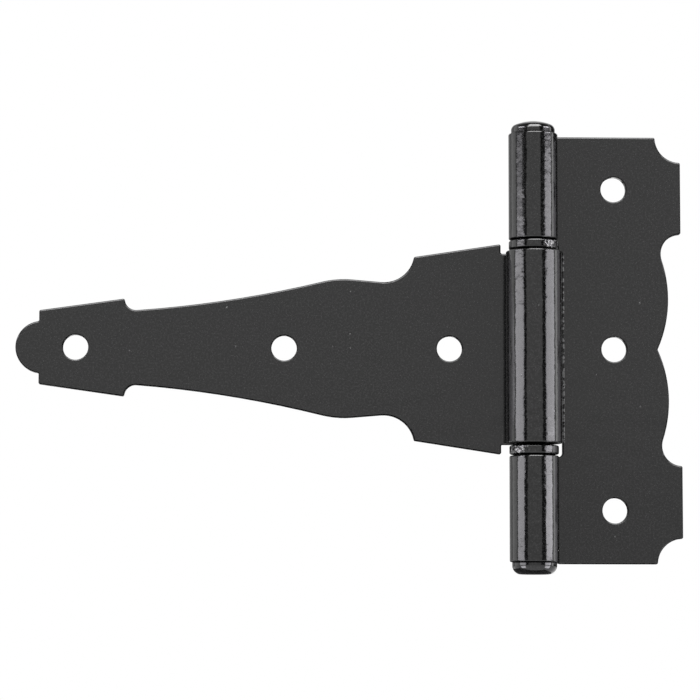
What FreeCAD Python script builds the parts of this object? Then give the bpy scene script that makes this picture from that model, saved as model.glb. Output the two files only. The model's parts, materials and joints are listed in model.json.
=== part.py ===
import FreeCAD, Part
import math
import os
import Sketcher

# Tee hinge: a fixed pad leaf, a long strap leaf, a riveted pin and two washers.
# Millimetres. +Z runs up the pin, +X from the pin across the pad, and the barrel stands out towards -Y.
# The backs of both leaves lie on y = 0, and the origin is the centre of the pad's middle screw hole there.

Vector = FreeCAD.Vector

# The least volume that a real cut takes away.
LEAST_CUT = 1.0
# How near a point must be to the place that is looked for.
NEAR = 0.01
# How exactly two faces or radii must agree.
EXACT = 0.001

# The driving sizes: name, value and what it measures.
SIZES = [
    ("sheet_thickness", 2.8, "steel sheet that both leaves are folded from"),
    ("pin_diameter", 8.7, "shank of the pin"),
    ("pin_clearance", 0.1, "radial room round the pin in the pad's knuckles"),
    ("strap_eye_slack", 0.95, "how much larger in radius the strap's knuckle is rolled"),
    ("seam_gap", 0.3, "between the end of each curl and the face of its own leaf"),
    ("edge_round", 0.45, "rounding of the leaves' edges, front and back"),
    ("corner_round", 0.5, "rounding of the outline's sharp corners"),
    ("screw_hole_diameter", 7.5, "all six screw holes"),
    ("hole_rim_round", 0.35, "rounding of the screw holes' rims"),
    ("pad_height", 126.8, "pad leaf, end to end along the pin"),
    ("pad_reach", 44.25, "pin axis to the pad's outer ears"),
    ("pad_scallop_radius", 7.5, "quarter scallop cut from the pad's two outer corners"),
    ("pad_notch_height", 28.5, "centre of each side notch above or below the middle"),
    ("pad_notch_radius", 5.95, "round notches between the ears and the bows"),
    ("pad_bow_inset", 3.83, "crest of each bow inside the line of the ears"),
    ("pad_bow_radius", 37.0, "the two bows that meet in a cusp at the middle"),
    ("pad_hole_offset", 24.25, "pin axis to the pad's line of screw holes"),
    ("pad_hole_spacing", 47.7, "middle hole of the pad to each outer hole"),
    ("strap_reach", 152.4, "pin axis to the strap's tip"),
    ("nose_radius", 7.7, "round nose at the tip"),
    ("nose_length", 6.9, "tip to the step behind the nose"),
    ("ear_front_half_width", 10.9, "barbs behind the nose, at the step"),
    ("ear_back_half_width", 14.45, "barbs behind the nose, at their back corners"),
    ("ear_length", 25.1, "barbs behind the nose, along the strap"),
    ("neck_radius", 3.4, "fillet from the barb's back corner into the neck"),
    ("flare_radius", 335.0, "long hollow edge that widens from the neck"),
    ("hump_half_width", 20.55, "half the strap's width at the crest of its hump"),
    ("hump_radius", 28.0, "crest of the hump"),
    ("hump_spacing", 11.65, "crest of the hump to the lowest point of the scoop, along the strap"),
    ("scoop_offset", 43.95, "pin axis to the lowest point of the scoop"),
    ("scoop_depth", 0.85, "crest of the hump down to the lowest point of the scoop"),
    ("scoop_radius", 9.1, "scoop between the hump and the shoulder"),
    ("shoulder_offset", 9.3, "pin axis to the shoulder's end beside the barrel"),
    ("shoulder_overhang", 2.85, "shoulder past the end of the strap's knuckle, at its barrel end"),
    ("shoulder_rise", 3.95, "how much the half width grows along the shoulder"),
    ("near_hole_offset", 24.5, "pin axis to the strap's first screw hole"),
    ("middle_hole_offset", 73.35, "pin axis to the strap's second screw hole"),
    ("tip_hole_inset", 17.65, "tip of the strap to its third screw hole"),
    ("strap_knuckle_length", 56.7, "strap's knuckle along the pin"),
    ("window_side_gap", 0.6, "strap's knuckle to the edge of the pad's window"),
    ("window_corner_round", 1.3, "inner corners of the pad's window"),
    ("ledge_inset", 1.2, "how much narrower the window is beside the upper washer"),
    ("foot_relief", 0.45, "end of the lower knuckle above the pad's bottom edge"),
    ("relief_reach", 7.9, "pin axis to where the relief runs out into the bottom edge"),
    ("relief_slope", 1.5, "length of the relief's sloping end"),
    ("washer_height", 2.6, "each washer along the pin"),
    ("washer_gap", 0.4, "running gap at a washer's face"),
    ("axial_play", 0.3, "further room that lets the strap slide on the pin"),
    ("washer_bore_clearance", 0.2, "radial room round the pin in the washers"),
    ("washer_edge_round", 0.5, "rounding of the washers' outer edges"),
    ("head_diameter", 12.9, "pin's upper head"),
    ("head_height", 3.75, "pin's upper head, to the top of its dome"),
    ("head_rim_height", 1.2, "straight rim of the upper head"),
    ("head_shoulder_radius", 1.55, "round between the rim and the dome"),
    ("foot_diameter", 13.1, "riveted lower end of the pin"),
    ("foot_height", 3.6, "riveted lower end of the pin"),
    ("foot_rim_height", 1.0, "straight rim of the riveted end"),
    ("trim_margin", 6.0, "how far blanks and cutting profiles reach past the outline"),
]

# Sizes that follow from the driving ones: name, formula and what it measures.
FORMULAS = [
    ("pad_half_height", "pad_height / 2", "middle of the pad to its ends"),
    ("pad_eye_radius", "pin_diameter / 2 + pin_clearance + sheet_thickness",
     "outside of the pad's knuckles"),
    ("strap_eye_radius", "pad_eye_radius + strap_eye_slack", "outside of the strap's knuckle"),
    ("window_half_height", "(strap_knuckle_length + axial_play) / 2 + washer_height + 2 * washer_gap",
     "middle of the pad to the facing ends of its knuckles"),
    ("window_edge", "strap_eye_radius + window_side_gap", "pin axis to the edge of the pad's window"),
    ("bow_centre", "pad_reach - pad_bow_inset - pad_bow_radius", "pin axis to the centre of each bow"),
    ("washer_bore_radius", "pin_diameter / 2 + washer_bore_clearance", "bore of the washers"),
    ("washer_rise", "window_half_height - washer_gap - washer_height / 2",
     "middle of the pad to each washer"),
    ("ledge_edge", "window_edge - ledge_inset", "pin axis to the window's edge beside the upper washer"),
    ("ledge_rise", "washer_rise - washer_height / 2", "middle of the pad to the foot of the ledge"),
    ("foot_top", "pad_half_height - foot_relief", "middle of the pad to the end of its lower knuckle"),
    ("step_offset", "strap_reach - nose_length", "pin axis to the step behind the nose"),
    ("ear_back_offset", "strap_reach - nose_length - ear_length", "pin axis to the barb's back corner"),
    ("hump_offset", "scoop_offset + hump_spacing", "pin axis to the crest of the hump"),
    ("scoop_centre_rise", "hump_half_width - scoop_depth + scoop_radius",
     "middle of the strap to the scoop's centre"),
    ("shoulder_half_width", "strap_knuckle_length / 2 + shoulder_overhang",
     "half the strap's width at the barrel end of the shoulder"),
    ("brow_half_width", "shoulder_half_width - shoulder_rise",
     "half the strap's width where the shoulder starts"),
    ("leaf_cut", "4 * sheet_thickness", "cuts through a flat leaf, half of it in front of the back plane"),
    ("barrel_cut", "5 * strap_eye_radius", "cuts through a leaf's knuckles, spread the same way"),
]

doc = FreeCAD.newDocument("tee_hinge")
sheet = doc.addObject("Spreadsheet::Sheet", "Sizes")
row = 1
for name, value, note in SIZES:
    sheet.set("A%d" % row, name)
    sheet.set("B%d" % row, str(value))
    sheet.set("C%d" % row, note)
    sheet.setAlias("B%d" % row, name)
    row += 1
for name, formula, note in FORMULAS:
    sheet.set("A%d" % row, name)
    sheet.set("B%d" % row, "=" + formula)
    sheet.set("C%d" % row, note)
    sheet.setAlias("B%d" % row, name)
    row += 1
doc.recompute()


def size(name):
    """The number that the sheet holds for a named size."""
    return float(sheet.get(name))


def new_body(label):
    """A named sub-part."""
    body = doc.addObject("PartDesign::Body", label)
    body.Label = label
    return body


def new_sketch(body, name, role):
    """A sketch on one of the body's own origin planes."""
    sketch = body.newObject("Sketcher::SketchObject", name)
    plane = [feature for feature in body.Origin.OriginFeatures if feature.Role == role][0]
    sketch.AttachmentSupport = (plane, [""])
    sketch.MapMode = "FlatFace"
    return sketch


def both_ways(body, kind, name, sketch, length):
    """A pad or pocket of a sketch, spread equally to both sides of its plane."""
    feature = body.newObject(kind, name)
    feature.Profile = sketch
    feature.SideType = "Symmetric"
    feature.setExpression("Length", length)
    doc.recompute()
    return feature


def cut_counts(before, after):
    """Stops the build if a cut has taken nothing away."""
    if after.Shape.Volume > before.Shape.Volume - LEAST_CUT:
        raise RuntimeError(after.Name + " cuts nothing")


class Chain:
    """A closed run of straight pieces and arcs, drawn in order in one sketch."""

    def __init__(self, sketch, start):
        self.sketch = sketch
        self.at = start
        self.pieces = []
        self.smooth = []

    def line(self, x, y):
        """A straight piece to a point."""
        piece = Part.LineSegment(Vector(*self.at, 0), Vector(x, y, 0))
        self.pieces.append((self.sketch.addGeometry(piece, False), 1, 2))
        self.at = (x, y)
        return self.pieces[-1]

    def arc(self, centre, x, y, left, smooth=False):
        """An arc to a point about a centre, turning left or right, that may start smoothly."""
        first = math.atan2(self.at[1] - centre[1], self.at[0] - centre[0])
        last = math.atan2(y - centre[1], x - centre[0])
        circle = Part.Circle(Vector(*centre, 0), Vector(0, 0, 1), math.dist(centre, (x, y)))
        low, high = (first, last) if left else (last, first)
        if high < low:
            high += 2 * math.pi
        index = self.sketch.addGeometry(Part.ArcOfCircle(circle, low, high), False)
        self.pieces.append((index, 1, 2) if left else (index, 2, 1))
        if smooth:
            self.smooth.append(len(self.pieces) - 1)
        self.at = (x, y)
        return self.pieces[-1]

    def smooth_line(self, x, y):
        """A straight piece that leaves the arc before it smoothly."""
        self.smooth.append(len(self.pieces))
        return self.line(x, y)

    def close(self):
        """Joins every piece to the next, end to start."""
        for number, piece in enumerate(self.pieces):
            before = self.pieces[number - 1]
            kind = "Tangent" if number in self.smooth else "Coincident"
            self.sketch.addConstraint(Sketcher.Constraint(kind, before[0], before[2], piece[0], piece[1]))


CENTRE = 3


def hold(sketch, kind, index, point, formula):
    """Ties a point's distance from the origin along one axis to the sheet."""
    spot = sketch.getPoint(index, point)
    value = spot.x if kind == "DistanceX" else spot.y
    number = sketch.addConstraint(Sketcher.Constraint(kind, -1, 1, index, point, value))
    sketch.setExpression("Constraints[%d]" % number, formula)


def hold_x(sketch, index, point, formula):
    hold(sketch, "DistanceX", index, point, formula)


def hold_y(sketch, index, point, formula):
    hold(sketch, "DistanceY", index, point, formula)


def hold_radius(sketch, index, formula):
    """Ties the radius of a circle or an arc to the sheet."""
    value = sketch.Geometry[index].Radius
    number = sketch.addConstraint(Sketcher.Constraint("Radius", index, value))
    sketch.setExpression("Constraints[%d]" % number, formula)


def level(sketch, *pieces):
    for piece in pieces:
        sketch.addConstraint(Sketcher.Constraint("Horizontal", piece[0]))


def upright(sketch, *pieces):
    for piece in pieces:
        sketch.addConstraint(Sketcher.Constraint("Vertical", piece[0]))


def on_axis(sketch, index, point, axis):
    """Puts a point on the sketch's own horizontal (-1) or vertical (-2) axis."""
    sketch.addConstraint(Sketcher.Constraint("PointOnObject", index, point, axis))


def folded_blank(body, side, eye, reach, height):
    """The sheet as it is folded: a flat leaf whose end is curled forward into an eye for the pin.

    side is 1 for a leaf that runs to +X and -1 for one that runs to -X. eye and reach are formulas
    for the outside radius of the eye and the length of the leaf, and height is that of the blank.
    """
    thickness = size("sheet_thickness")
    radius = size(eye)
    inner = radius - thickness
    edge = side * (size(reach) + size("trim_margin"))
    centre = (0, -radius)
    # The curl stops a seam's width short of the leaf's own front face.
    rise = math.asin((radius - thickness - size("seam_gap")) / radius)
    lip = (side * math.cos(rise), math.sin(rise))
    sketch = new_sketch(body, body.Name + "_fold", "XY_Plane")
    chain = Chain(sketch, (edge, 0))
    back = chain.line(0, 0)
    outside = chain.arc(centre, radius * lip[0], radius * lip[1] - radius, side > 0, smooth=True)
    end = chain.line(inner * lip[0], inner * lip[1] - radius)
    inside = chain.arc(centre, 0, -thickness, side < 0)
    front = chain.smooth_line(edge, -thickness)
    rim = chain.line(edge, 0)
    chain.close()
    level(sketch, back, front)
    upright(sketch, rim)
    on_axis(sketch, rim[0], rim[2], -1)
    on_axis(sketch, outside[0], CENTRE, -2)
    sketch.addConstraint(Sketcher.Constraint("Coincident", inside[0], CENTRE, outside[0], CENTRE))
    sketch.addConstraint(Sketcher.Constraint("PointOnObject", outside[0], CENTRE, end[0]))
    hold_radius(sketch, outside[0], "Sizes." + eye)
    hold_radius(sketch, inside[0], "Sizes.%s - Sizes.sheet_thickness" % eye)
    hold_y(sketch, end[0], end[1], "-Sizes.sheet_thickness - Sizes.seam_gap")
    hold_x(sketch, rim[0], rim[2], "%d * (Sizes.%s + Sizes.trim_margin)" % (side, reach))
    return both_ways(body, "PartDesign::Pad", body.Name + "_blank", sketch, height)


def mirrored(body, name, feature):
    """The same cut again, below the middle."""
    mirror = body.newObject("PartDesign::Mirrored", name)
    plane = [item for item in body.Origin.OriginFeatures if item.Role == "XY_Plane"][0]
    mirror.Originals = [feature]
    mirror.MirrorPlane = (plane, [""])
    body.Tip = mirror
    doc.recompute()
    return mirror


def screw_holes(body, places):
    """Punched holes at the given formulas for x and z."""
    sketch = new_sketch(body, body.Name + "_hole_places", "XZ_Plane")
    for across, along in places:
        start = Vector(across[1], along[1], 0)
        circle = Part.Circle(start, Vector(0, 0, 1), size("screw_hole_diameter") / 2)
        index = sketch.addGeometry(circle, False)
        hold_x(sketch, index, CENTRE, across[0])
        if along[1] == 0:
            on_axis(sketch, index, CENTRE, -1)
        else:
            hold_y(sketch, index, CENTRE, along[0])
        hold_radius(sketch, index, "Sizes.screw_hole_diameter / 2")
    return both_ways(body, "PartDesign::Pocket", body.Name + "_screw_holes", sketch,
                     "Sizes.leaf_cut")


def corner_edges(feature, corners):
    """The sheet's edges through its thickness that stand at the given corners (x, z)."""
    found = []
    middle = -size("sheet_thickness") / 2
    for number, edge in enumerate(feature.Shape.Edges, 1):
        spot = edge.CenterOfMass
        if abs(spot.y - middle) > NEAR:
            continue
        if any(math.dist((spot.x, spot.z), corner) < NEAR for corner in corners):
            found.append("Edge%d" % number)
    return found


def face_edges(feature, depth, choose):
    """The edges that lie in the plane y = depth and that choose(edge) accepts."""
    found = []
    for number, edge in enumerate(feature.Shape.Edges, 1):
        box = edge.BoundBox
        if abs(box.YMin - depth) < EXACT and abs(box.YMax - depth) < EXACT and choose(edge):
            found.append("Edge%d" % number)
    return found


def fillet(body, name, feature, edges, radius):
    """Rounds the named edges of a feature."""
    rounding = body.newObject("PartDesign::Fillet", name)
    rounding.Base = (feature, edges)
    rounding.setExpression("Radius", radius)
    doc.recompute()
    return rounding


def is_hole_rim(edge):
    """True for the rim of a screw hole."""
    return isinstance(edge.Curve, Part.Circle) and edge.isClosed()


def is_outline(edge):
    """True for an edge of the flat leaf, apart from the hole rims and the line where the curl begins."""
    return not is_hole_rim(edge) and abs(edge.CenterOfMass.x) > NEAR


def round_leaf(body, feature, corners, window_corners):
    """Rounds a leaf's corners, then its edges, front and back, and the rims of its holes."""
    if window_corners:
        feature = fillet(body, body.Name + "_window_corners", feature,
                         corner_edges(feature, window_corners), "Sizes.window_corner_round")
    feature = fillet(body, body.Name + "_corners", feature, corner_edges(feature, corners),
                     "Sizes.corner_round")
    front = -size("sheet_thickness")
    edges = face_edges(feature, front, is_outline) + face_edges(feature, 0, is_outline)
    feature = fillet(body, body.Name + "_edges", feature, edges, "Sizes.edge_round")
    rims = face_edges(feature, front, is_hole_rim) + face_edges(feature, 0, is_hole_rim)
    return fillet(body, body.Name + "_rims", feature, rims, "Sizes.hole_rim_round")


def crossing(first, first_radius, second, second_radius, side):
    """Where two circles cross: the point to the left (1) or right (-1) of the line from first to second."""
    apart = math.dist(first, second)
    along = (apart ** 2 + first_radius ** 2 - second_radius ** 2) / (2 * apart)
    across = side * math.sqrt(first_radius ** 2 - along ** 2)
    way = ((second[0] - first[0]) / apart, (second[1] - first[1]) / apart)
    return (first[0] + way[0] * along - way[1] * across, first[1] + way[1] * along + way[0] * across)


def towards(start, goal, distance):
    """The point at a distance from start on the line to goal."""
    share = distance / math.dist(start, goal)
    return (start[0] + share * (goal[0] - start[0]), start[1] + share * (goal[1] - start[1]))


def build_pad():
    """The pad leaf: one sheet, with an upper and a lower knuckle and an ornamental outer edge."""
    body = new_body("pad_leaf")
    blank = folded_blank(body, 1, "pad_eye_radius", "pad_reach", "Sizes.pad_height")
    reach = size("pad_reach")
    top = size("pad_half_height")
    scallop = size("pad_scallop_radius")
    notch = size("pad_notch_radius")
    notch_centre = (reach, size("pad_notch_height"))
    bow = size("pad_bow_radius")
    # The bow's centre is as high as lets the bow run smoothly into the notch.
    bow_x = size("bow_centre")
    bow_z = notch_centre[1] - math.sqrt((bow + notch) ** 2 - (reach - bow_x) ** 2)
    bow_centre = (bow_x, bow_z)
    cusp = bow_x + math.sqrt(bow ** 2 - bow_z ** 2)
    joint = towards(bow_centre, notch_centre, bow)
    margin = size("trim_margin")

    sketch = new_sketch(body, "pad_outline", "XZ_Plane")
    chain = Chain(sketch, (cusp, 0))
    bow_arc = chain.arc(bow_centre, *joint, True)
    notch_arc = chain.arc(notch_centre, reach, notch_centre[1] + notch, False, smooth=True)
    ear = chain.line(reach, top - scallop)
    scallop_arc = chain.arc((reach, top), reach - scallop, top, False)
    rise = chain.line(reach - scallop, top + margin)
    over = chain.line(reach + 2 * margin, top + margin)
    down = chain.line(reach + 2 * margin, 0)
    back = chain.line(cusp, 0)
    chain.close()
    on_axis(sketch, bow_arc[0], bow_arc[1], -1)
    hold_x(sketch, bow_arc[0], CENTRE, "Sizes.bow_centre")
    hold_radius(sketch, bow_arc[0], "Sizes.pad_bow_radius")
    hold_x(sketch, notch_arc[0], CENTRE, "Sizes.pad_reach")
    hold_y(sketch, notch_arc[0], CENTRE, "Sizes.pad_notch_height")
    hold_radius(sketch, notch_arc[0], "Sizes.pad_notch_radius")
    hold_x(sketch, ear[0], ear[1], "Sizes.pad_reach")
    upright(sketch, ear, rise, down)
    level(sketch, over, back)
    hold_x(sketch, scallop_arc[0], CENTRE, "Sizes.pad_reach")
    hold_y(sketch, scallop_arc[0], CENTRE, "Sizes.pad_half_height")
    hold_radius(sketch, scallop_arc[0], "Sizes.pad_scallop_radius")
    hold_y(sketch, rise[0], rise[1], "Sizes.pad_half_height")
    hold_y(sketch, over[0], over[1], "Sizes.pad_half_height + Sizes.trim_margin")
    hold_x(sketch, over[0], over[2], "Sizes.pad_reach + 2 * Sizes.trim_margin")
    trimmed = both_ways(body, "PartDesign::Pocket", "pad_trim", sketch, "Sizes.leaf_cut")
    cut_counts(blank, trimmed)
    whole = mirrored(body, "pad_trim_below", trimmed)
    cut_counts(trimmed, whole)

    # The window between the two knuckles takes the strap's knuckle and the washers.
    half = size("window_half_height")
    edge = size("window_edge")
    ledge_x = size("ledge_edge")
    ledge_z = size("ledge_rise")
    sketch = new_sketch(body, "pad_window_outline", "XZ_Plane")
    chain = Chain(sketch, (-edge, -half))
    low = chain.line(edge, -half)
    right = chain.line(edge, ledge_z)
    ledge = chain.line(ledge_x, ledge_z)
    upper = chain.line(ledge_x, half)
    high = chain.line(-edge, half)
    left = chain.line(-edge, -half)
    chain.close()
    level(sketch, low, ledge, high)
    upright(sketch, right, upper, left)
    hold_x(sketch, upper[0], upper[1], "Sizes.ledge_edge")
    hold_y(sketch, upper[0], upper[1], "Sizes.ledge_rise")
    hold_x(sketch, right[0], right[1], "Sizes.window_edge")
    hold_y(sketch, right[0], right[1], "-Sizes.window_half_height")
    hold_x(sketch, left[0], left[1], "-Sizes.window_edge")
    hold_y(sketch, left[0], left[1], "Sizes.window_half_height")
    window = both_ways(body, "PartDesign::Pocket", "pad_window", sketch, "Sizes.barrel_cut")
    cut_counts(whole, window)

    # The lower knuckle ends a little above the pad's bottom edge.
    past = size("pad_eye_radius") + margin
    relief_x = size("relief_reach")
    slope_x = relief_x - size("relief_slope")
    foot_z = -size("foot_top")
    sketch = new_sketch(body, "pad_relief_outline", "XZ_Plane")
    chain = Chain(sketch, (-past, -top - margin))
    under = chain.line(relief_x, -top - margin)
    out = chain.line(relief_x, -top)
    chain.line(slope_x, foot_z)
    end = chain.line(-past, foot_z)
    side = chain.line(-past, -top - margin)
    chain.close()
    level(sketch, under, end)
    upright(sketch, out, side)
    hold_x(sketch, out[0], out[2], "Sizes.relief_reach")
    hold_y(sketch, out[0], out[2], "-Sizes.pad_half_height")
    hold_x(sketch, end[0], end[1], "Sizes.relief_reach - Sizes.relief_slope")
    hold_y(sketch, end[0], end[1], "-Sizes.foot_top")
    hold_x(sketch, under[0], under[1], "-Sizes.pad_eye_radius - Sizes.trim_margin")
    hold_y(sketch, under[0], under[1], "-Sizes.pad_half_height - Sizes.trim_margin")
    relieved = both_ways(body, "PartDesign::Pocket", "pad_relief", sketch, "Sizes.barrel_cut")
    cut_counts(window, relieved)

    across = ("Sizes.pad_hole_offset", size("pad_hole_offset"))
    spacing = size("pad_hole_spacing")
    holes = screw_holes(body, [(across, ("-Sizes.pad_hole_spacing", -spacing)),
                               (across, ("", 0)),
                               (across, ("Sizes.pad_hole_spacing", spacing))])
    cut_counts(relieved, holes)
    corners = [(cusp, 0), (ledge_x, ledge_z), (edge, ledge_z), (relief_x, -top), (slope_x, foot_z)]
    for sign in (1, -1):
        corners.append((reach, sign * (notch_centre[1] + notch)))
        corners.append((reach, sign * (top - scallop)))
        corners.append((reach - scallop, sign * top))
    round_leaf(body, holes, corners, [(ledge_x, half), (edge, -half)])
    return body


def build_strap():
    """The strap leaf: one sheet, with a middle knuckle and a long blade with a barbed round nose."""
    body = new_body("strap_leaf")
    blank = folded_blank(body, -1, "strap_eye_radius", "strap_reach",
                         "2 * (Sizes.shoulder_half_width + Sizes.trim_margin)")
    reach = size("strap_reach")
    margin = size("trim_margin")
    nose = size("nose_radius")
    nose_centre = (nose - reach, 0)
    step_x = -size("step_offset")
    nose_z = math.sqrt(nose ** 2 - (step_x - nose_centre[0]) ** 2)
    ear_x = -size("ear_back_offset")
    ear_z = size("ear_back_half_width")
    neck = size("neck_radius")
    neck_centre = (ear_x + neck, ear_z)
    hump = size("hump_radius")
    hump_centre = (-size("hump_offset"), size("hump_half_width") - hump)
    flare = size("flare_radius")
    # The flare touches the neck's fillet from outside the sheet and the hump from above.
    flare_centre = crossing(neck_centre, flare - neck, hump_centre, flare + hump, 1)
    flare_start = towards(neck_centre, flare_centre, -neck)
    flare_end = towards(hump_centre, flare_centre, hump)
    scoop = size("scoop_radius")
    scoop_centre = (-size("scoop_offset"), size("scoop_centre_rise"))
    # A straight edge touches the hump from above and the scoop from below.
    apart = math.dist(hump_centre, scoop_centre)
    bearing = math.atan2(scoop_centre[1] - hump_centre[1], scoop_centre[0] - hump_centre[0])
    normal = bearing + math.acos((hump + scoop) / apart)
    slope_start = (hump_centre[0] + hump * math.cos(normal), hump_centre[1] + hump * math.sin(normal))
    slope_end = (scoop_centre[0] - scoop * math.cos(normal), scoop_centre[1] - scoop * math.sin(normal))
    shoulder_x = -size("shoulder_offset")
    shoulder_z = size("shoulder_half_width")
    brow_z = size("brow_half_width")
    brow_x = scoop_centre[0] + math.sqrt(scoop ** 2 - (brow_z - scoop_centre[1]) ** 2)
    tongue_z = size("strap_knuckle_length") / 2
    past_eye = size("strap_eye_radius") + margin
    top = shoulder_z + 2 * margin

    sketch = new_sketch(body, "strap_outline", "XZ_Plane")
    chain = Chain(sketch, (-reach, 0))
    nose_arc = chain.arc(nose_centre, step_x, nose_z, False)
    step = chain.line(step_x, size("ear_front_half_width"))
    barb = chain.line(ear_x, ear_z)
    neck_arc = chain.arc(neck_centre, *flare_start, True)
    flare_arc = chain.arc(flare_centre, *flare_end, True, smooth=True)
    hump_arc = chain.arc(hump_centre, *slope_start, False, smooth=True)
    chain.smooth_line(*slope_end)
    scoop_arc = chain.arc(scoop_centre, brow_x, brow_z, True, smooth=True)
    shoulder = chain.line(shoulder_x, shoulder_z)
    drop = chain.line(shoulder_x, tongue_z)
    tongue = chain.line(past_eye, tongue_z)
    rise = chain.line(past_eye, top)
    over = chain.line(-reach - 2 * margin, top)
    down = chain.line(-reach - 2 * margin, 0)
    back = chain.line(-reach, 0)
    chain.close()
    on_axis(sketch, nose_arc[0], CENTRE, -1)
    on_axis(sketch, nose_arc[0], nose_arc[1], -1)
    hold_x(sketch, nose_arc[0], nose_arc[1], "-Sizes.strap_reach")
    hold_radius(sketch, nose_arc[0], "Sizes.nose_radius")
    upright(sketch, step, drop, rise, down)
    level(sketch, tongue, over, back)
    hold_x(sketch, step[0], step[1], "-Sizes.step_offset")
    hold_y(sketch, step[0], step[2], "Sizes.ear_front_half_width")
    hold_x(sketch, barb[0], barb[2], "-Sizes.ear_back_offset")
    hold_y(sketch, barb[0], barb[2], "Sizes.ear_back_half_width")
    hold_y(sketch, neck_arc[0], CENTRE, "Sizes.ear_back_half_width")
    hold_radius(sketch, neck_arc[0], "Sizes.neck_radius")
    hold_radius(sketch, flare_arc[0], "Sizes.flare_radius")
    hold_x(sketch, hump_arc[0], CENTRE, "-Sizes.hump_offset")
    hold_y(sketch, hump_arc[0], CENTRE, "Sizes.hump_half_width - Sizes.hump_radius")
    hold_radius(sketch, hump_arc[0], "Sizes.hump_radius")
    hold_x(sketch, scoop_arc[0], CENTRE, "-Sizes.scoop_offset")
    hold_y(sketch, scoop_arc[0], CENTRE, "Sizes.scoop_centre_rise")
    hold_radius(sketch, scoop_arc[0], "Sizes.scoop_radius")
    hold_y(sketch, shoulder[0], shoulder[1], "Sizes.brow_half_width")
    hold_x(sketch, shoulder[0], shoulder[2], "-Sizes.shoulder_offset")
    hold_y(sketch, shoulder[0], shoulder[2], "Sizes.shoulder_half_width")
    hold_y(sketch, tongue[0], tongue[1], "Sizes.strap_knuckle_length / 2")
    hold_x(sketch, tongue[0], tongue[2], "Sizes.strap_eye_radius + Sizes.trim_margin")
    hold_y(sketch, over[0], over[1], "Sizes.shoulder_half_width + 2 * Sizes.trim_margin")
    hold_x(sketch, over[0], over[2], "-Sizes.strap_reach - 2 * Sizes.trim_margin")
    trimmed = both_ways(body, "PartDesign::Pocket", "strap_trim", sketch, "Sizes.barrel_cut")
    cut_counts(blank, trimmed)
    whole = mirrored(body, "strap_trim_below", trimmed)
    cut_counts(trimmed, whole)

    near = size("near_hole_offset")
    middle = size("middle_hole_offset")
    tip = reach - size("tip_hole_inset")
    holes = screw_holes(body, [(("-Sizes.near_hole_offset", -near), ("", 0)),
                               (("-Sizes.middle_hole_offset", -middle), ("", 0)),
                               (("-Sizes.strap_reach + Sizes.tip_hole_inset", -tip), ("", 0))])
    cut_counts(whole, holes)
    corners = []
    for sign in (1, -1):
        corners.append((step_x, sign * nose_z))
        corners.append((step_x, sign * size("ear_front_half_width")))
        corners.append((ear_x, sign * ear_z))
        corners.append((brow_x, sign * brow_z))
        corners.append((shoulder_x, sign * shoulder_z))
        corners.append((shoulder_x, sign * tongue_z))
    round_leaf(body, holes, corners, [])
    return body


def build_pin():
    """The pin: a shank with a domed head above the pad's knuckles and a riveted end below them."""
    body = new_body("hinge_pin")
    end = size("pad_half_height")
    shank = size("pin_diameter") / 2
    foot = size("foot_diameter") / 2
    foot_top = size("foot_top")
    foot_low = foot_top + size("foot_height")
    foot_rim = foot_top + size("foot_rim_height")
    foot_round = foot_low - foot_rim
    head = size("head_diameter") / 2
    head_rim = end + size("head_rim_height")
    shoulder = size("head_shoulder_radius")
    shoulder_centre = (head - shoulder, head_rim)
    rise = size("head_height") - size("head_rim_height")
    # The dome's radius lets it run smoothly into the head's round shoulder.
    dome = (shoulder_centre[0] ** 2 + rise ** 2 - shoulder ** 2) / (2 * (rise - shoulder))
    dome_centre = (0, end + size("head_height") - dome)
    joint = towards(dome_centre, shoulder_centre, dome)

    sketch = new_sketch(body, "pin_profile", "XZ_Plane")
    chain = Chain(sketch, (0, -foot_low))
    base = chain.line(foot - foot_round, -foot_low)
    chain.arc((foot - foot_round, -foot_rim), foot, -foot_rim, True, smooth=True)
    foot_side = chain.smooth_line(foot, -foot_top)
    foot_face = chain.line(shank, -foot_top)
    side = chain.line(shank, end)
    head_face = chain.line(head, end)
    head_side = chain.line(head, head_rim)
    shoulder_arc = chain.arc(shoulder_centre, *joint, True, smooth=True)
    dome_arc = chain.arc(dome_centre, 0, dome_centre[1] + dome, True, smooth=True)
    axis = chain.line(0, -foot_low)
    chain.close()
    level(sketch, base, foot_face, head_face)
    upright(sketch, foot_side, side, head_side, axis)
    on_axis(sketch, base[0], base[1], -2)
    hold_y(sketch, base[0], base[1], "-Sizes.foot_top - Sizes.foot_height")
    hold_y(sketch, foot_side[0], foot_side[1], "-Sizes.foot_top - Sizes.foot_rim_height")
    hold_x(sketch, foot_side[0], foot_side[1], "Sizes.foot_diameter / 2")
    hold_y(sketch, foot_face[0], foot_face[1], "-Sizes.foot_top")
    hold_x(sketch, side[0], side[1], "Sizes.pin_diameter / 2")
    hold_y(sketch, side[0], side[2], "Sizes.pad_half_height")
    hold_x(sketch, head_face[0], head_face[2], "Sizes.head_diameter / 2")
    hold_y(sketch, head_side[0], head_side[2], "Sizes.pad_half_height + Sizes.head_rim_height")
    hold_radius(sketch, shoulder_arc[0], "Sizes.head_shoulder_radius")
    on_axis(sketch, dome_arc[0], CENTRE, -2)
    hold_y(sketch, dome_arc[0], dome_arc[2], "Sizes.pad_half_height + Sizes.head_height")
    turned = body.newObject("PartDesign::Revolution", "pin_turned")
    turned.Profile = sketch
    turned.ReferenceAxis = (sketch, ["V_Axis"])
    turned.Angle = 360
    doc.recompute()
    return body


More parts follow.
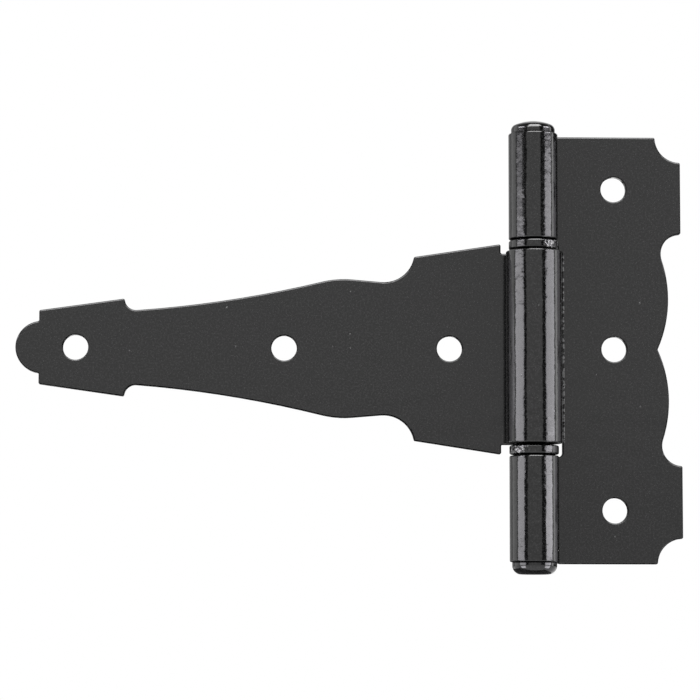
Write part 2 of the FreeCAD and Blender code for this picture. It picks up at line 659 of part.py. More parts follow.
def build_washer(label):
    """A loose washer between two knuckles, as wide as the pad's knuckles."""
    body = new_body(label)
    sketch = new_sketch(body, label + "_ring", "XY_Plane")
    rings = (("Sizes.pad_eye_radius", size("pad_eye_radius")),
             ("Sizes.washer_bore_radius", size("washer_bore_radius")))
    for formula, radius in rings:
        index = sketch.addGeometry(Part.Circle(Vector(0, 0, 0), Vector(0, 0, 1), radius), False)
        sketch.addConstraint(Sketcher.Constraint("Coincident", index, CENTRE, -1, 1))
        hold_radius(sketch, index, formula)
    ring = both_ways(body, "PartDesign::Pad", label + "_body", sketch, "Sizes.washer_height")
    outer = [number for number, edge in enumerate(ring.Shape.Edges, 1)
             if edge.isClosed() and abs(edge.Curve.Radius - size("pad_eye_radius")) < EXACT]
    fillet(body, label + "_edges", ring, ["Edge%d" % number for number in outer], "Sizes.washer_edge_round")
    return body


def place(body, back, rise):
    """Moves a sub-part from the pin axis to its place: back and rise are formulas for y and z."""
    body.setExpression("Placement.Base.x", "-Sizes.pad_hole_offset")
    body.setExpression("Placement.Base.y", back)
    body.setExpression("Placement.Base.z", rise)


pad_leaf = build_pad()
strap_leaf = build_strap()
hinge_pin = build_pin()
upper_washer = build_washer("upper_washer")
lower_washer = build_washer("lower_washer")
place(pad_leaf, "0", "0")
place(strap_leaf, "0", "0")
place(hinge_pin, "-Sizes.pad_eye_radius", "0")
place(upper_washer, "-Sizes.pad_eye_radius", "Sizes.washer_rise")
place(lower_washer, "-Sizes.pad_eye_radius", "-Sizes.washer_rise")
doc.recompute()

for item in doc.Objects:
    if "Invalid" in item.State or "Error" in item.State:
        raise RuntimeError("%s failed: %s" % (item.Name, item.State))
    if item.isDerivedFrom("Sketcher::SketchObject") and not item.FullyConstrained:
        raise RuntimeError(item.Name + " is not fully constrained")

os.makedirs("parts", exist_ok=True)
for body in (pad_leaf, strap_leaf, hinge_pin, upper_washer, lower_washer):
    shape = body.Shape
    if shape.isNull() or not shape.isValid() or len(shape.Solids) != 1:
        raise RuntimeError(body.Label + " is not one valid solid")
    shape.exportStep("parts/%s.step" % body.Label)
    box = shape.BoundBox
    print("%s: volume %.1f, x %.2f to %.2f, y %.2f to %.2f, z %.2f to %.2f" % (
        body.Label, shape.Volume, box.XMin, box.XMax, box.YMin, box.YMax, box.ZMin, box.ZMax))
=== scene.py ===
# %% [markdown]
# # A black tee hinge
# The real thing is two leaves of folded steel sheet, a riveted pin and two washers, all under one coat of
# glossy black enamel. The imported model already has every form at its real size, so this lesson loads it
# as a fixed frame, dresses it in enamel, and builds the small studio that the enamel mirrors.

# %% load the frame
import bpy
import json
import math
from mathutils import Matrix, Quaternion, Vector


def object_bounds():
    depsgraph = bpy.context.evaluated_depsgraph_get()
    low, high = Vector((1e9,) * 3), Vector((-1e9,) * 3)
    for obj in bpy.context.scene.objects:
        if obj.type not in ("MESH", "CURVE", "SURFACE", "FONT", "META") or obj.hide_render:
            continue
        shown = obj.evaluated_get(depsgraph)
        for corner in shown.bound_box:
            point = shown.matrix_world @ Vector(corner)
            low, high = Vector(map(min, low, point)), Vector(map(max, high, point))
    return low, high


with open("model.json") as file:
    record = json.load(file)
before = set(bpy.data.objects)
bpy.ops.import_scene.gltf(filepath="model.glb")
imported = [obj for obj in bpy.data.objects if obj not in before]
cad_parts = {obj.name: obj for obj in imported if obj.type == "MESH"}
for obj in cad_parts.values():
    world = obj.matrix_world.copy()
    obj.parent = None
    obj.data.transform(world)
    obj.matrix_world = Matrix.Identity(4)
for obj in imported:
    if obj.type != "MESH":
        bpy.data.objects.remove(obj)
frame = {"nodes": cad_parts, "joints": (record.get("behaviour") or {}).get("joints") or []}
CAD_BOX = [list(corner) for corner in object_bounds()]
MM = 0.001
print("nodes:", sorted(frame["nodes"]))

# %% [markdown]
# ## Where the sizes come from
# Nothing here repeats a size that the solids can give. The pin's axis is the joint's own axis, and the
# ends of the barrel and of the strap are read from the boxes of the leaves. The flat backs of the leaves
# lie at y = 0 and the barrel touches that plane, so the axis stands one barrel radius in front of it.

# %% places read from the frame
PIN = Vector(frame["joints"][0]["pos_m"])
BARREL_RADIUS = -PIN.y
LOW, HIGH = (Vector(corner) for corner in CAD_BOX)
PAD_TOP = max(corner[2] for corner in frame["nodes"]["pad_leaf"].bound_box)
STRAP_SIDE = max(corner[0] for corner in frame["nodes"]["strap_leaf"].bound_box)
print("pin axis at x = %.4f, y = %.4f" % (PIN.x, PIN.y))
print("barrel's end at z = %.4f, strap's side at x = %.4f" % (PAD_TOP, STRAP_SIDE))

# %% [markdown]
# ## The camera
# The photograph was taken from 0.9 m away with a long lens, a little below the hinge and a little to its
# left, so the leaves look almost flat. The camera is placed from the point it looks at, two angles and a
# distance. Then it is turned a little about its own axis, because the picture isn't quite level.

# %% where the camera stands
AIM = Vector((-75.35, -2.75, 0.0)) * MM
CAMERA_AZIMUTH = math.radians(-1.787)
CAMERA_ELEVATION = math.radians(-5.555)
CAMERA_DISTANCE = 885.0 * MM
CAMERA_ROLL = math.radians(0.081)
FOCAL_PIXELS = 3000.0
PICTURE_PIXELS = 700.0
SENSOR_MM = 36.0
AIM_PIXEL = (359.55, 348.19)


def outwards(azimuth, elevation):
    """The unit vector from the hinge towards an azimuth (0 is -Y, 90 degrees is +X) and an elevation."""
    return Vector((math.sin(azimuth) * math.cos(elevation),
                   -math.cos(azimuth) * math.cos(elevation),
                   math.sin(elevation)))


print("camera's direction", [round(value, 4) for value in outwards(CAMERA_AZIMUTH, CAMERA_ELEVATION)])

# %% the camera


def make_camera():
    """A long lens whose picture holds AIM at AIM_PIXEL."""
    data = bpy.data.cameras.new("camera")
    data.sensor_width = SENSOR_MM
    data.lens = SENSOR_MM * FOCAL_PIXELS / PICTURE_PIXELS
    camera = bpy.data.objects.new("camera", data)
    bpy.context.scene.collection.objects.link(camera)
    back = outwards(CAMERA_AZIMUTH, CAMERA_ELEVATION)
    level = (-back).to_track_quat("-Z", "Y")
    half = PICTURE_PIXELS / 2
    # The turn that brings AIM from the middle of the picture to its own pixel.
    pan = Quaternion((0, 1, 0), (AIM_PIXEL[0] - half) / FOCAL_PIXELS)
    tilt = Quaternion((1, 0, 0), (AIM_PIXEL[1] - half) / FOCAL_PIXELS)
    roll = Quaternion((0, 0, 1), CAMERA_ROLL)
    camera.location = AIM + back * CAMERA_DISTANCE
    camera.rotation_mode = "QUATERNION"
    camera.rotation_quaternion = level @ pan @ tilt @ roll
    bpy.context.scene.camera = camera
    return camera


camera = make_camera()
print("camera at", [round(value, 4) for value in camera.location])

# %% [markdown]
# ## Small helpers for node trees
# A material, a world and a node group are all trees of nodes. A few short functions keep the rest
# readable: one adds a node with its settings and constant inputs, one does a piece of arithmetic, one
# makes a smooth step, and one starts a node group with its named inputs and outputs.

# %% node helpers


def add(tree, kind, settings=None, **inputs):
    """A new node. settings are its own fields, and inputs its sockets' constant values by name."""
    node = tree.nodes.new(kind)
    for name, value in (settings or {}).items():
        setattr(node, name, value)
    for name, value in inputs.items():
        node.inputs[name.replace("_", " ")].default_value = value
    return node


def sums(tree, operation, *values):
    """One math node. Each value is a number or an output socket."""
    node = tree.nodes.new("ShaderNodeMath")
    node.operation = operation
    for index, value in enumerate(values):
        if isinstance(value, (int, float)):
            node.inputs[index].default_value = value
        else:
            tree.links.new(value, node.inputs[index])
    return node.outputs[0]


def ramp(tree, value, start, end, low=0.0, high=1.0):
    """A smooth step of a value from low at start to high at end."""
    node = tree.nodes.new("ShaderNodeMapRange")
    node.interpolation_type = "SMOOTHSTEP"
    for index, number in enumerate((start, end, low, high), 1):
        node.inputs[index].default_value = number
    tree.links.new(value, node.inputs[0])
    return node.outputs[0]


def product(tree, first, *others):
    """Masks multiplied: 1 only where all of them are."""
    for other in others:
        first = sums(tree, "MULTIPLY", first, other)
    return first


def new_group(name, inputs, outputs):
    """An empty shader node group. inputs give value sockets and outputs name each socket's type."""
    group = bpy.data.node_groups.new(name, "ShaderNodeTree")
    for label, value in inputs.items():
        socket = group.interface.new_socket(label, in_out="INPUT", socket_type="NodeSocketFloat")
        socket.default_value = value
    for label, kind in outputs.items():
        group.interface.new_socket(label, in_out="OUTPUT", socket_type=kind)
    return group


print("helpers:", ", ".join(helper.__name__ for helper in (add, sums, ramp, product, new_group)))

# %% [markdown]
# ## The studio
# Black enamel has almost no colour of its own: what we see on it is the room, mirrored at about 4%. Its
# bands are therefore the shape of the studio. Softboxes at the two sides give the two bright stripes down
# the barrel, the pale wall round the camera gives the even grey of the flat leaves, and an unlit gap
# between the wall and each side gives the dark stripes. The softboxes are area lamps, and the walls are
# the world, painted by direction.
#
# Knuckles at different heights mirror different heights of the room, because the camera is near and a
# little low. So each side has three softboxes, one above the other, and each knuckle gets its own
# brightness.

# %% softboxes
# Each lamp: azimuth from and to in degrees, distance in metres, lower and upper end in metres above the
# pin's middle, and radiance, where white paper is 1.
SOFTBOXES = {
    "right_lower": (52, 87, 1.0, -0.06, 0.032, 7.2),
    "right_middle": (45, 87, 1.0, 0.032, 0.163, 5.0),
    "right_upper": (52, 87, 1.0, 0.163, 0.228, 5.2),
    "left_lower": (-87, -52, 1.0, -0.06, 0.032, 4.8),
    "left_middle": (-87, -47, 1.0, 0.032, 0.163, 4.8),
    "left_upper": (-87, -57, 1.0, 0.163, 0.228, 2.4),
}
# The photograph's highlights are a touch violet.
SOFTBOX_TINT = (1.0, 0.98, 1.04)


def make_softbox(name, start, end, distance, low, high, radiance):
    """An upright area lamp that spans an angle seen from the barrel. Its watts are radiance x pi x area."""
    data = bpy.data.lights.new(name, "AREA")
    data.shape = "RECTANGLE"
    data.size = 2 * distance * math.tan(math.radians((end - start) / 2))
    data.size_y = high - low
    data.energy = radiance * math.pi * data.size * data.size_y
    data.color = SOFTBOX_TINT
    lamp = bpy.data.objects.new(name, data)
    bpy.context.scene.collection.objects.link(lamp)
    away = outwards(math.radians((start + end) / 2), 0.0)
    lamp.location = PIN + away * distance + Vector((0, 0, (low + high) / 2))
    lamp.rotation_mode = "QUATERNION"
    lamp.rotation_quaternion = (-away).to_track_quat("-Z", "Y")
    lamp.visible_camera = False
    return lamp


for name, facts in SOFTBOXES.items():
    lamp = make_softbox(name, *facts)
    print(name, "%.1f W" % lamp.data.energy)

# %% [markdown]
# ## Glints
# Where a rim or the pin's domed head turns up or down, the photograph has small glints that are nearly
# white. Small bright lamps above and below the softboxes give them. A lamp of that strength would light
# the floor and flatten the picture, so these four are seen in mirrors alone.

# %% glints
# The facts are those of a softbox.
GLINTS = {
    "right_high": (52, 87, 1.0, 0.29, 0.44, 22.0),
    "left_high": (-87, -50, 1.0, 0.29, 0.44, 22.0),
    "right_low": (52, 80, 0.12, -0.135, -0.083, 7.0),
    "left_low": (-80, -52, 0.12, -0.135, -0.083, 7.0),
}
for name, facts in GLINTS.items():
    lamp = make_softbox(name, *facts)
    lamp.visible_diffuse = False
    print(name, "%.1f W, in mirrors alone" % lamp.data.energy)

# %% [markdown]
# ## The walls
# The rest of the room is the world. It is a list of panels, each a box of directions with a brightness,
# laid over one another from the first to the last. Only mirror rays see them. The camera sees plain
# white, and diffuse rays see one plain level, so the panels change the reflections and nothing else.

# %% the panels
# Each panel: azimuth from and to, elevation from and to, in degrees, and how bright it is. White is 1.
PANELS = {
    "low_wall": (-180, 180, -91, 3.5, 0.85),
    "ceiling": (-180, 180, 34, 91, 0.08),
    "overhead_light": (-32, 45, 24, 68, 13.0),
    "back_wall": (120, 240, -91, 91, 0.25),
    "high_back_wall": (120, 240, 12, 70, 0.8),
    "dark_back_corner": (112, 248, -91, 7, 0.01),
    "left_gap": (-52, -36, -60, 33, 0.0),
    "right_gap": (30, 50, -60, 33, 0.0),
    "left_line": (-94, -86, -30, 33, 0.6),
    "left_fill": (-128, -95, -30, 33, 1.4),
    "left_far_fill": (-170, -129, -3, 33, 0.5),
    "left_break": (-90, -50, 8, 14, 0.1),
    "right_break": (50, 90, 8, 14, 0.1),
    "right_line": (86, 94, -30, 36, 0.6),
    "right_strip": (95, 106, -30, 36, 2.8),
    "right_dark": (107, 140, -30, 36, 0.02),
}
# How bright the room is where no panel lies, half the width of a panel's soft edge in degrees, and the
# level of the diffuse light.
BARE_WALL = 1.0
EDGE_SOFTNESS = 1.5
AMBIENT = 0.75
print("panels:", len(PANELS))

# %% a panel's mask


def panel_mask(tree, azimuth, elevation, box):
    """1 inside a box of directions and 0 outside, with soft edges."""
    left, right, low, high = box
    masks = [ramp(tree, elevation, low - EDGE_SOFTNESS, low + EDGE_SOFTNESS),
             ramp(tree, elevation, high + EDGE_SOFTNESS, high - EDGE_SOFTNESS)]
    if right > 180:
        # A panel across the back is as wide on either side, so it needs one edge only, measured without
        # the sign.
        turned = sums(tree, "ABSOLUTE", azimuth)
        masks.append(ramp(tree, turned, left - EDGE_SOFTNESS, left + EDGE_SOFTNESS))
    elif right - left < 360:
        masks.append(ramp(tree, azimuth, left - EDGE_SOFTNESS, left + EDGE_SOFTNESS))
        masks.append(ramp(tree, azimuth, right + EDGE_SOFTNESS, right - EDGE_SOFTNESS))
    return product(tree, *masks)


print("edges are %.1f degrees wide" % (2 * EDGE_SOFTNESS))

# %% the world


def paint_room(tree):
    """How bright the room is in each direction: every panel in turn is mixed over what lies below it."""
    place = add(tree, "ShaderNodeTexCoord")
    split = add(tree, "ShaderNodeSeparateXYZ")
    tree.links.new(place.outputs["Generated"], split.inputs[0])
    toward_camera = sums(tree, "MULTIPLY", split.outputs["Y"], -1.0)
    azimuth = sums(tree, "DEGREES", sums(tree, "ARCTAN2", split.outputs["X"], toward_camera))
    elevation = sums(tree, "DEGREES", sums(tree, "ARCSINE", split.outputs["Z"]))
    room = None
    for *box, level in PANELS.values():
        mix = add(tree, "ShaderNodeMix", {"data_type": "FLOAT"}, A=BARE_WALL, B=level)
        tree.links.new(panel_mask(tree, azimuth, elevation, box), mix.inputs["Factor"])
        if room is not None:
            tree.links.new(room, mix.inputs["A"])
        room = mix.outputs[0]
    return room


def make_world():
    """White to the camera, the painted room to mirror rays, and one plain level to diffuse rays."""
    world = bpy.data.worlds.new("studio")
    bpy.context.scene.world = world
    world.use_nodes = True
    tree = world.node_tree
    tree.nodes.clear()
    path = add(tree, "ShaderNodeLightPath")
    seen = sums(tree, "MAXIMUM", path.outputs["Is Camera Ray"], path.outputs["Is Transmission Ray"])
    mirrored = sums(tree, "MULTIPLY", paint_room(tree), path.outputs["Is Glossy Ray"])
    ambient = sums(tree, "MULTIPLY", path.outputs["Is Diffuse Ray"], AMBIENT)
    strength = sums(tree, "MAXIMUM", sums(tree, "MAXIMUM", seen, mirrored), ambient)
    background = add(tree, "ShaderNodeBackground", Color=(1, 1, 1, 1))
    output = add(tree, "ShaderNodeOutputWorld")
    tree.links.new(strength, background.inputs["Strength"])
    tree.links.new(background.outputs[0], output.inputs["Surface"])
    return world


world = make_world()
print("world nodes:", len(world.node_tree.nodes))

# %% [markdown]
# ## The floor
# A pale floor lies well below the camera. It is a plain white diffuse sheet that also glows enough to
# read as white, to the eye and in mirrors, while the shadow of the hinge still darkens it.

# %% a flat sheet


def flat_sheet(name, x_range, y_range, height, material):
    """A level rectangle of one face that faces up."""
    (left, right), (front, back) = x_range, y_range
    corners = [(left, front, height), (right, front, height), (right, back, height), (left, back, height)]
    mesh = bpy.data.meshes.new(name)
    mesh.from_pydata(corners, [], [(0, 1, 2, 3)])
    mesh.materials.append(material)
    sheet = bpy.data.objects.new(name, mesh)
    bpy.context.scene.collection.objects.link(sheet)
    return sheet


# %% the floor
# In metres, how far the floor lies below the hinge, and how long its sides are.
FLOOR_DROP = 0.30
FLOOR_SIZE = 6.0
FLOOR_WHITE = (0.8, 0.8, 0.8, 1.0)
FLOOR_GLOW = 0.55


def make_floor_paper():
    """White paper with a glow of its own, which diffuse rays don't see, so that it lights nothing."""
    material = bpy.data.materials.new("floor_paper")
    material.use_nodes = True
    tree = material.node_tree
    tree.nodes.clear()
    path = add(tree, "ShaderNodeLightPath")
    seen = sums(tree, "MAXIMUM", path.outputs["Is Camera Ray"], path.outputs["Is Glossy Ray"])
    seen = sums(tree, "MAXIMUM", seen, path.outputs["Is Transmission Ray"])
    glow = add(tree, "ShaderNodeEmission", Color=(1, 1, 1, 1))
    tree.links.new(sums(tree, "MULTIPLY", seen, FLOOR_GLOW), glow.inputs["Strength"])
    paper = add(tree, "ShaderNodeBsdfDiffuse", Color=FLOOR_WHITE)
    both = add(tree, "ShaderNodeAddShader")
    output = add(tree, "ShaderNodeOutputMaterial")
    tree.links.new(glow.outputs[0], both.inputs[0])
    tree.links.new(paper.outputs[0], both.inputs[1])
    tree.links.new(both.outputs[0], output.inputs["Surface"])
    return material


FLOOR_RANGE = (-FLOOR_SIZE / 2, FLOOR_SIZE / 2)
floor = flat_sheet("floor", FLOOR_RANGE, FLOOR_RANGE, LOW.z - FLOOR_DROP, make_floor_paper())
print("floor at z = %.3f" % (LOW.z - FLOOR_DROP))

# %% [markdown]
# ## The black card
# Every lower edge in the photograph ends in a thin black line, because it mirrors something dark below
# the picture. A card lies there, nearly black, 8 cm under the hinge and reaching far behind it. Only
# mirror rays see it: it throws no shadow, and the camera looks through it. It ends just in front of the
# hinge, or the flat leaves would mirror it and turn black when they are seen from above.

# %% the black card
# In metres, how far the card lies below the hinge and reaches past its left and right ends, and the y of
# its front and back.
CARD_DROP = 0.08
CARD_MARGIN = 0.028
CARD_FRONT = -0.04
CARD_BACK = 0.9
CARD_GREY = 0.12


def make_card_paper():
    """Matt dark grey, with no gloss at all."""
    material = bpy.data.materials.new("black_card")
    material.use_nodes = True
    shader = material.node_tree.nodes["Principled BSDF"]
    shader.inputs["Base Color"].default_value = (CARD_GREY, CARD_GREY, CARD_GREY, 1.0)
    shader.inputs["Specular IOR Level"].default_value = 0.0
    shader.inputs["Roughness"].default_value = 1.0
    return material


card = flat_sheet("black_card", (LOW.x - CARD_MARGIN, HIGH.x + CARD_MARGIN), (CARD_FRONT, CARD_BACK),
                  LOW.z - CARD_DROP, make_card_paper())
card.visible_camera = False
card.visible_diffuse = False
card.visible_shadow = False
print("card at z = %.3f" % (LOW.z - CARD_DROP))

# %% [markdown]
# ## Enamel
# Sprayed enamel isn't a perfect mirror. As it dries it pulls into shallow ripples less than a millimetre
# apart, which makers call orange peel. Below that, the rolled sheet itself is wavy over several
# millimetres. Fine grains under the coat dull it and scatter a little light. All pieces share this, so it
# is one node group, with a height for the bump, a roughness and a grey for the base colour. Noise on
# Object coordinates gives each of them, because it stays on a piece when the piece moves, and needs no
# unwrapping.

# %% noise on a piece
# The finer layers on each mark's noise. A wave has none, so it stays smooth, and grain has the most.
FINER_LAYERS = {"Peel": 1.0, "Wave": 0.0, "Grain": 3.0, "Lump": 1.0, "Bend": 2.0}


def noise(tree, place, given, mark):
    """The clouds of one kind of mark. The group's own input for its size says how far apart, in metres."""
    node = add(tree, "ShaderNodeTexNoise", Detail=FINER_LAYERS[mark])
    tree.links.new(place.outputs["Object"], node.inputs["Vector"])
    tree.links.new(sums(tree, "DIVIDE", 1.0, given[mark + " Size"]), node.inputs["Scale"])
    return node.outputs[0]


print("marks made of noise:", ", ".join(FINER_LAYERS))

# %% [markdown]
# ## Specks
# Here and there a larger grain stands up through the coat as a raised speck, and its pale colour is a
# painted glint. A Voronoi texture cuts space into cells and gives each cell a random colour. A speck
# stands at the middle of those few cells whose number is high.

# %% specks
SPECK_SPACING = 2.6 * MM
SPECK_HEIGHT = 0.03 * MM
# Distances from a cell's middle, in cells, where a speck ends and where it is full.
SPECK_EDGE = (0.11, 0.05)
# Random numbers above these make a faint speck and a full one.
SPECK_CHANCE = (0.86, 0.96)


def speck_mask(tree, place):
    """1 on a speck and 0 beside it."""
    cells = add(tree, "ShaderNodeTexVoronoi", Scale=1.0 / SPECK_SPACING)
    tree.links.new(place.outputs["Object"], cells.inputs["Vector"])
    pick = add(tree, "ShaderNodeSeparateColor")
    tree.links.new(cells.outputs["Color"], pick.inputs[0])
    near = ramp(tree, cells.outputs["Distance"], *SPECK_EDGE)
    return sums(tree, "MULTIPLY", near, ramp(tree, pick.outputs[0], *SPECK_CHANCE))


print("a cell is about %.1f mm wide, and few cells hold a speck" % (SPECK_SPACING / MM))

# %% [markdown]
# ## Dried lumps
# Paint ran down between the knuckles and dried in lumps: on the right side of the upper washer, and
# on the left side of the lower one. The lumps' tops are a painted highlight. Both places have one thing in
# common. Across from the axis times up from the middle is positive there, and negative on the washers'
# other sides, so one product finds both.

# %% dried lumps
# How far a washer is above or below the middle, and how far to the side its lumps start and are full.
DRIP_HEIGHT = 32.0 * MM
DRIP_FROM = 1.5 * MM
DRIP_FULL = 4.0 * MM
# Noise above these is the foot and the top of a lump, where a highlight is painted.
LUMP_CREST = (0.55, 0.66)


def drip_mask(tree, at):
    """1 on the sides where paint ran down. at splits the Object coordinates."""
    across = sums(tree, "SUBTRACT", at.outputs["X"], PIN.x)
    side = sums(tree, "MULTIPLY", across, at.outputs["Z"])
    return ramp(tree, side, DRIP_FROM * DRIP_HEIGHT, DRIP_FULL * DRIP_HEIGHT)


print("lumps start %.1f mm from the axis" % (DRIP_FROM / MM))

# %% [markdown]
# ## Rolled skin and a painted highlight
# Rolling a sheet into a knuckle stretches its outer skin, which turns coarse and mottles the stripes on
# the barrel. Everything in front of the flat leaves is rolled, so one step of y finds it. Along the edge
# of the pad's window beside the strap's knuckle, a dotted pale line is a painted highlight.

# %% rolled skin and the painted highlight
# The flat leaves end behind the first of these planes, and only knuckles stand in front of the second.
FLAT_FRONT = -3.0 * MM
ROLLED_FRONT = -3.8 * MM
# Distances to the right from the strap's side: where the painted highlight starts, is full, begins to fade,
# and ends.
EDGE_GLINT_START = 0.2 * MM
EDGE_GLINT_FULL = 0.5 * MM
EDGE_GLINT_FADE = 1.1 * MM
EDGE_GLINT_END = 1.4 * MM
# The painted highlight's half height and how softly it ends.
EDGE_GLINT_HEIGHT = 28.0 * MM
EDGE_GLINT_SOFTNESS = 1.0 * MM
# Noise above these is the edge and the middle of a dot of painted highlight.
EDGE_GLINT_DOTS = (0.46, 0.58)


def rolled_mask(tree, at):
    """1 on the knuckles and 0 on the flat leaves."""
    return ramp(tree, at.outputs["Y"], FLAT_FRONT, ROLLED_FRONT)


def edge_glint_mask(tree, at):
    """Painted highlight: 1 along the window's edge in the flat pad, beside the strap's knuckle."""
    height = sums(tree, "ABSOLUTE", at.outputs["Z"])
    return product(tree,
                   ramp(tree, at.outputs["X"], STRAP_SIDE + EDGE_GLINT_START, STRAP_SIDE + EDGE_GLINT_FULL),
                   ramp(tree, at.outputs["X"], STRAP_SIDE + EDGE_GLINT_END, STRAP_SIDE + EDGE_GLINT_FADE),
                   ramp(tree, at.outputs["Y"], ROLLED_FRONT, FLAT_FRONT),
                   ramp(tree, height, EDGE_GLINT_HEIGHT, EDGE_GLINT_HEIGHT - EDGE_GLINT_SOFTNESS))


# Where the painted highlight lies along x.
print("chips from x = %.4f to %.4f" % (STRAP_SIDE + EDGE_GLINT_START, STRAP_SIDE + EDGE_GLINT_END))

# %% [markdown]
# ## The enamel's node group
# The group adds up the heights of all these marks, in metres, and a Bump node in the material turns the
# sum into slopes. Its inputs are the sizes and strengths that differ from coat to coat. Each starts at
# the value for the flat sheet, and marks that only some coats have start at 0.

# %% the enamel group
ENAMEL_INPUTS = {
    "Peel Size": 0.9 * MM, "Peel Depth": 0.004 * MM,
    "Wave Size": 6.0 * MM, "Wave Depth": 0.05 * MM,
    "Roughness": 0.10, "Grain Size": 0.55 * MM,
    "Black": 0.004, "Grain Light": 0.014, "Speck Glint": 0.05,
    "Lump Size": 1.0 * MM, "Lump Depth": 0.0, "Lump Glint": 0.0,
    "Bend Size": 2.5 * MM, "Bend Depth": 0.0, "Edge Glint": 0.0,
}
ENAMEL_OUTPUTS = {"Height": "NodeSocketFloat", "Roughness": "NodeSocketFloat", "Color": "NodeSocketColor"}
# Grain noise from and to, and the share of the roughness there.
GRAIN_DULLS = (0.35, 0.7, 0.92, 1.12)
# Grain noise from and to, where it turns pale.
GRAIN_PALE = (0.42, 0.66)


def make_enamel_group():
    """The coat's height in metres, its roughness and its grey base colour, varied from place to place."""
    group = new_group("sprayed_enamel", ENAMEL_INPUTS, ENAMEL_OUTPUTS)
    given = group.nodes.new("NodeGroupInput").outputs
    made = group.nodes.new("NodeGroupOutput").inputs
    place = add(group, "ShaderNodeTexCoord")
    at = add(group, "ShaderNodeSeparateXYZ")
    group.links.new(place.outputs["Object"], at.inputs[0])

    grain = noise(group, place, given, "Grain")
    lumps = noise(group, place, given, "Lump")
    speck = speck_mask(group, place)
    drip = drip_mask(group, at)
    rolled = sums(group, "MULTIPLY", rolled_mask(group, at), given["Bend Depth"])
    height = 0.0
    for shape, depth in ((noise(group, place, given, "Peel"), given["Peel Depth"]),
                         (lumps, sums(group, "MULTIPLY", drip, given["Lump Depth"])),
                         (noise(group, place, given, "Wave"), given["Wave Depth"]),
                         (noise(group, place, given, "Bend"), rolled),
                         (speck, SPECK_HEIGHT)):
        height = sums(group, "MULTIPLY_ADD", shape, depth, height)
    group.links.new(height, made["Height"])

    dull = ramp(group, grain, *GRAIN_DULLS)
    group.links.new(sums(group, "MULTIPLY", given["Roughness"], dull), made["Roughness"])

    # Painted highlight: the lumps' tops are made pale.
    lump_glints = sums(group, "MULTIPLY", ramp(group, lumps, *LUMP_CREST), drip)
    # Painted highlight: pale dots along the window's edge.
    edge_glints = sums(group, "MULTIPLY", ramp(group, lumps, *EDGE_GLINT_DOTS), edge_glint_mask(group, at))
    # Painted glint: the specks are made pale.
    light = given["Black"]
    for mask, level in ((ramp(group, grain, *GRAIN_PALE), given["Grain Light"]),
                        (speck, given["Speck Glint"]),
                        (lump_glints, given["Lump Glint"]),
                        (edge_glints, given["Edge Glint"])):
        light = sums(group, "MULTIPLY_ADD", mask, level, light)
    grey = add(group, "ShaderNodeCombineColor")
    for socket in grey.inputs[:3]:
        group.links.new(light, socket)
    group.links.new(grey.outputs[0], made["Color"])
    return group


enamel_group = make_enamel_group()
print("enamel group:", len(enamel_group.nodes), "nodes")

# %% [markdown]
# ## Where no coat shines
# Painted shade darkens the narrow gaps between the knuckles, the pin's shank inside them, and the seams
# where the pin comes out. Painted shade also darkens the rims and walls of the flat plates, most of all
# the lower edges. Both are found from where a point is and which way it faces, so they are one node group
# with two masks. The material makes a masked place metallic with a black base colour, and such a surface
# mirrors almost nothing when it is seen head on.

# %% values of the dull places
# What is nearer to the axis than this is the pin's shank, or a bore round it.
SHANK_RADIUS = 4.7 * MM
SEAM_SOFTNESS = 0.1 * MM
# How softly the painted shade in the gaps fades out past the barrel's own radius.
GAP_FADE = 1.6 * MM
# How upright a normal is on a knuckle's side, and on its end.
END_FACING = (0.7, 0.9)
# How far forward a normal points on a flat face, and on an edge.
RIM_FACING = (0.985, 0.88)
# Distances from the axis between which the barrel ends and the flat plates begin.
PLATE_START = (8.5 * MM, 9.5 * MM)
# How far up a normal points on an upper edge, and on a lower one.
UNDER_FACING = (0.6, 0.0)
# The last two say how much of its shine painted shade takes from an upper edge, and from a lower one.
DULL_INPUTS = {
    "Axis X": PIN.x, "Axis Y": PIN.y, "Shank Radius": SHANK_RADIUS, "Barrel Radius": BARREL_RADIUS,
    "Middle Height": 0.0, "Half Height": PAD_TOP, "Upper Edges": 0.4, "Lower Edges": 0.97,
}
DULL_OUTPUTS = {"Gap": "NodeSocketFloat", "Edge Shade": "NodeSocketFloat"}
print("barrel radius %.2f mm, its end at %.2f mm" % (BARREL_RADIUS / MM, PAD_TOP / MM))

# %% the two masks


def below(tree, value, limit, soft):
    """1 where value is under limit, and 0 from limit + soft."""
    return ramp(tree, sums(tree, "SUBTRACT", value, limit), soft, 0.0)


def gap_shade_mask(tree, given, at, facing, across):
    """Painted shade: 1 on the knuckles' ends and on the pin's shank, as far as the barrel goes."""
    forward = sums(tree, "SUBTRACT", at.outputs["Y"], given["Axis Y"])
    square = sums(tree, "MULTIPLY_ADD", across, across, sums(tree, "MULTIPLY", forward, forward))
    radius = sums(tree, "SQRT", square)
    upright = sums(tree, "ABSOLUTE", facing.outputs["Z"])
    ends = sums(tree, "MULTIPLY", ramp(tree, upright, *END_FACING),
                below(tree, radius, given["Barrel Radius"], GAP_FADE))
    shank = below(tree, radius, given["Shank Radius"], SEAM_SOFTNESS)
    height = sums(tree, "ABSOLUTE", sums(tree, "SUBTRACT", at.outputs["Z"], given["Middle Height"]))
    inside = below(tree, height, given["Half Height"], SEAM_SOFTNESS)
    return sums(tree, "MULTIPLY", sums(tree, "MAXIMUM", ends, shank), inside)


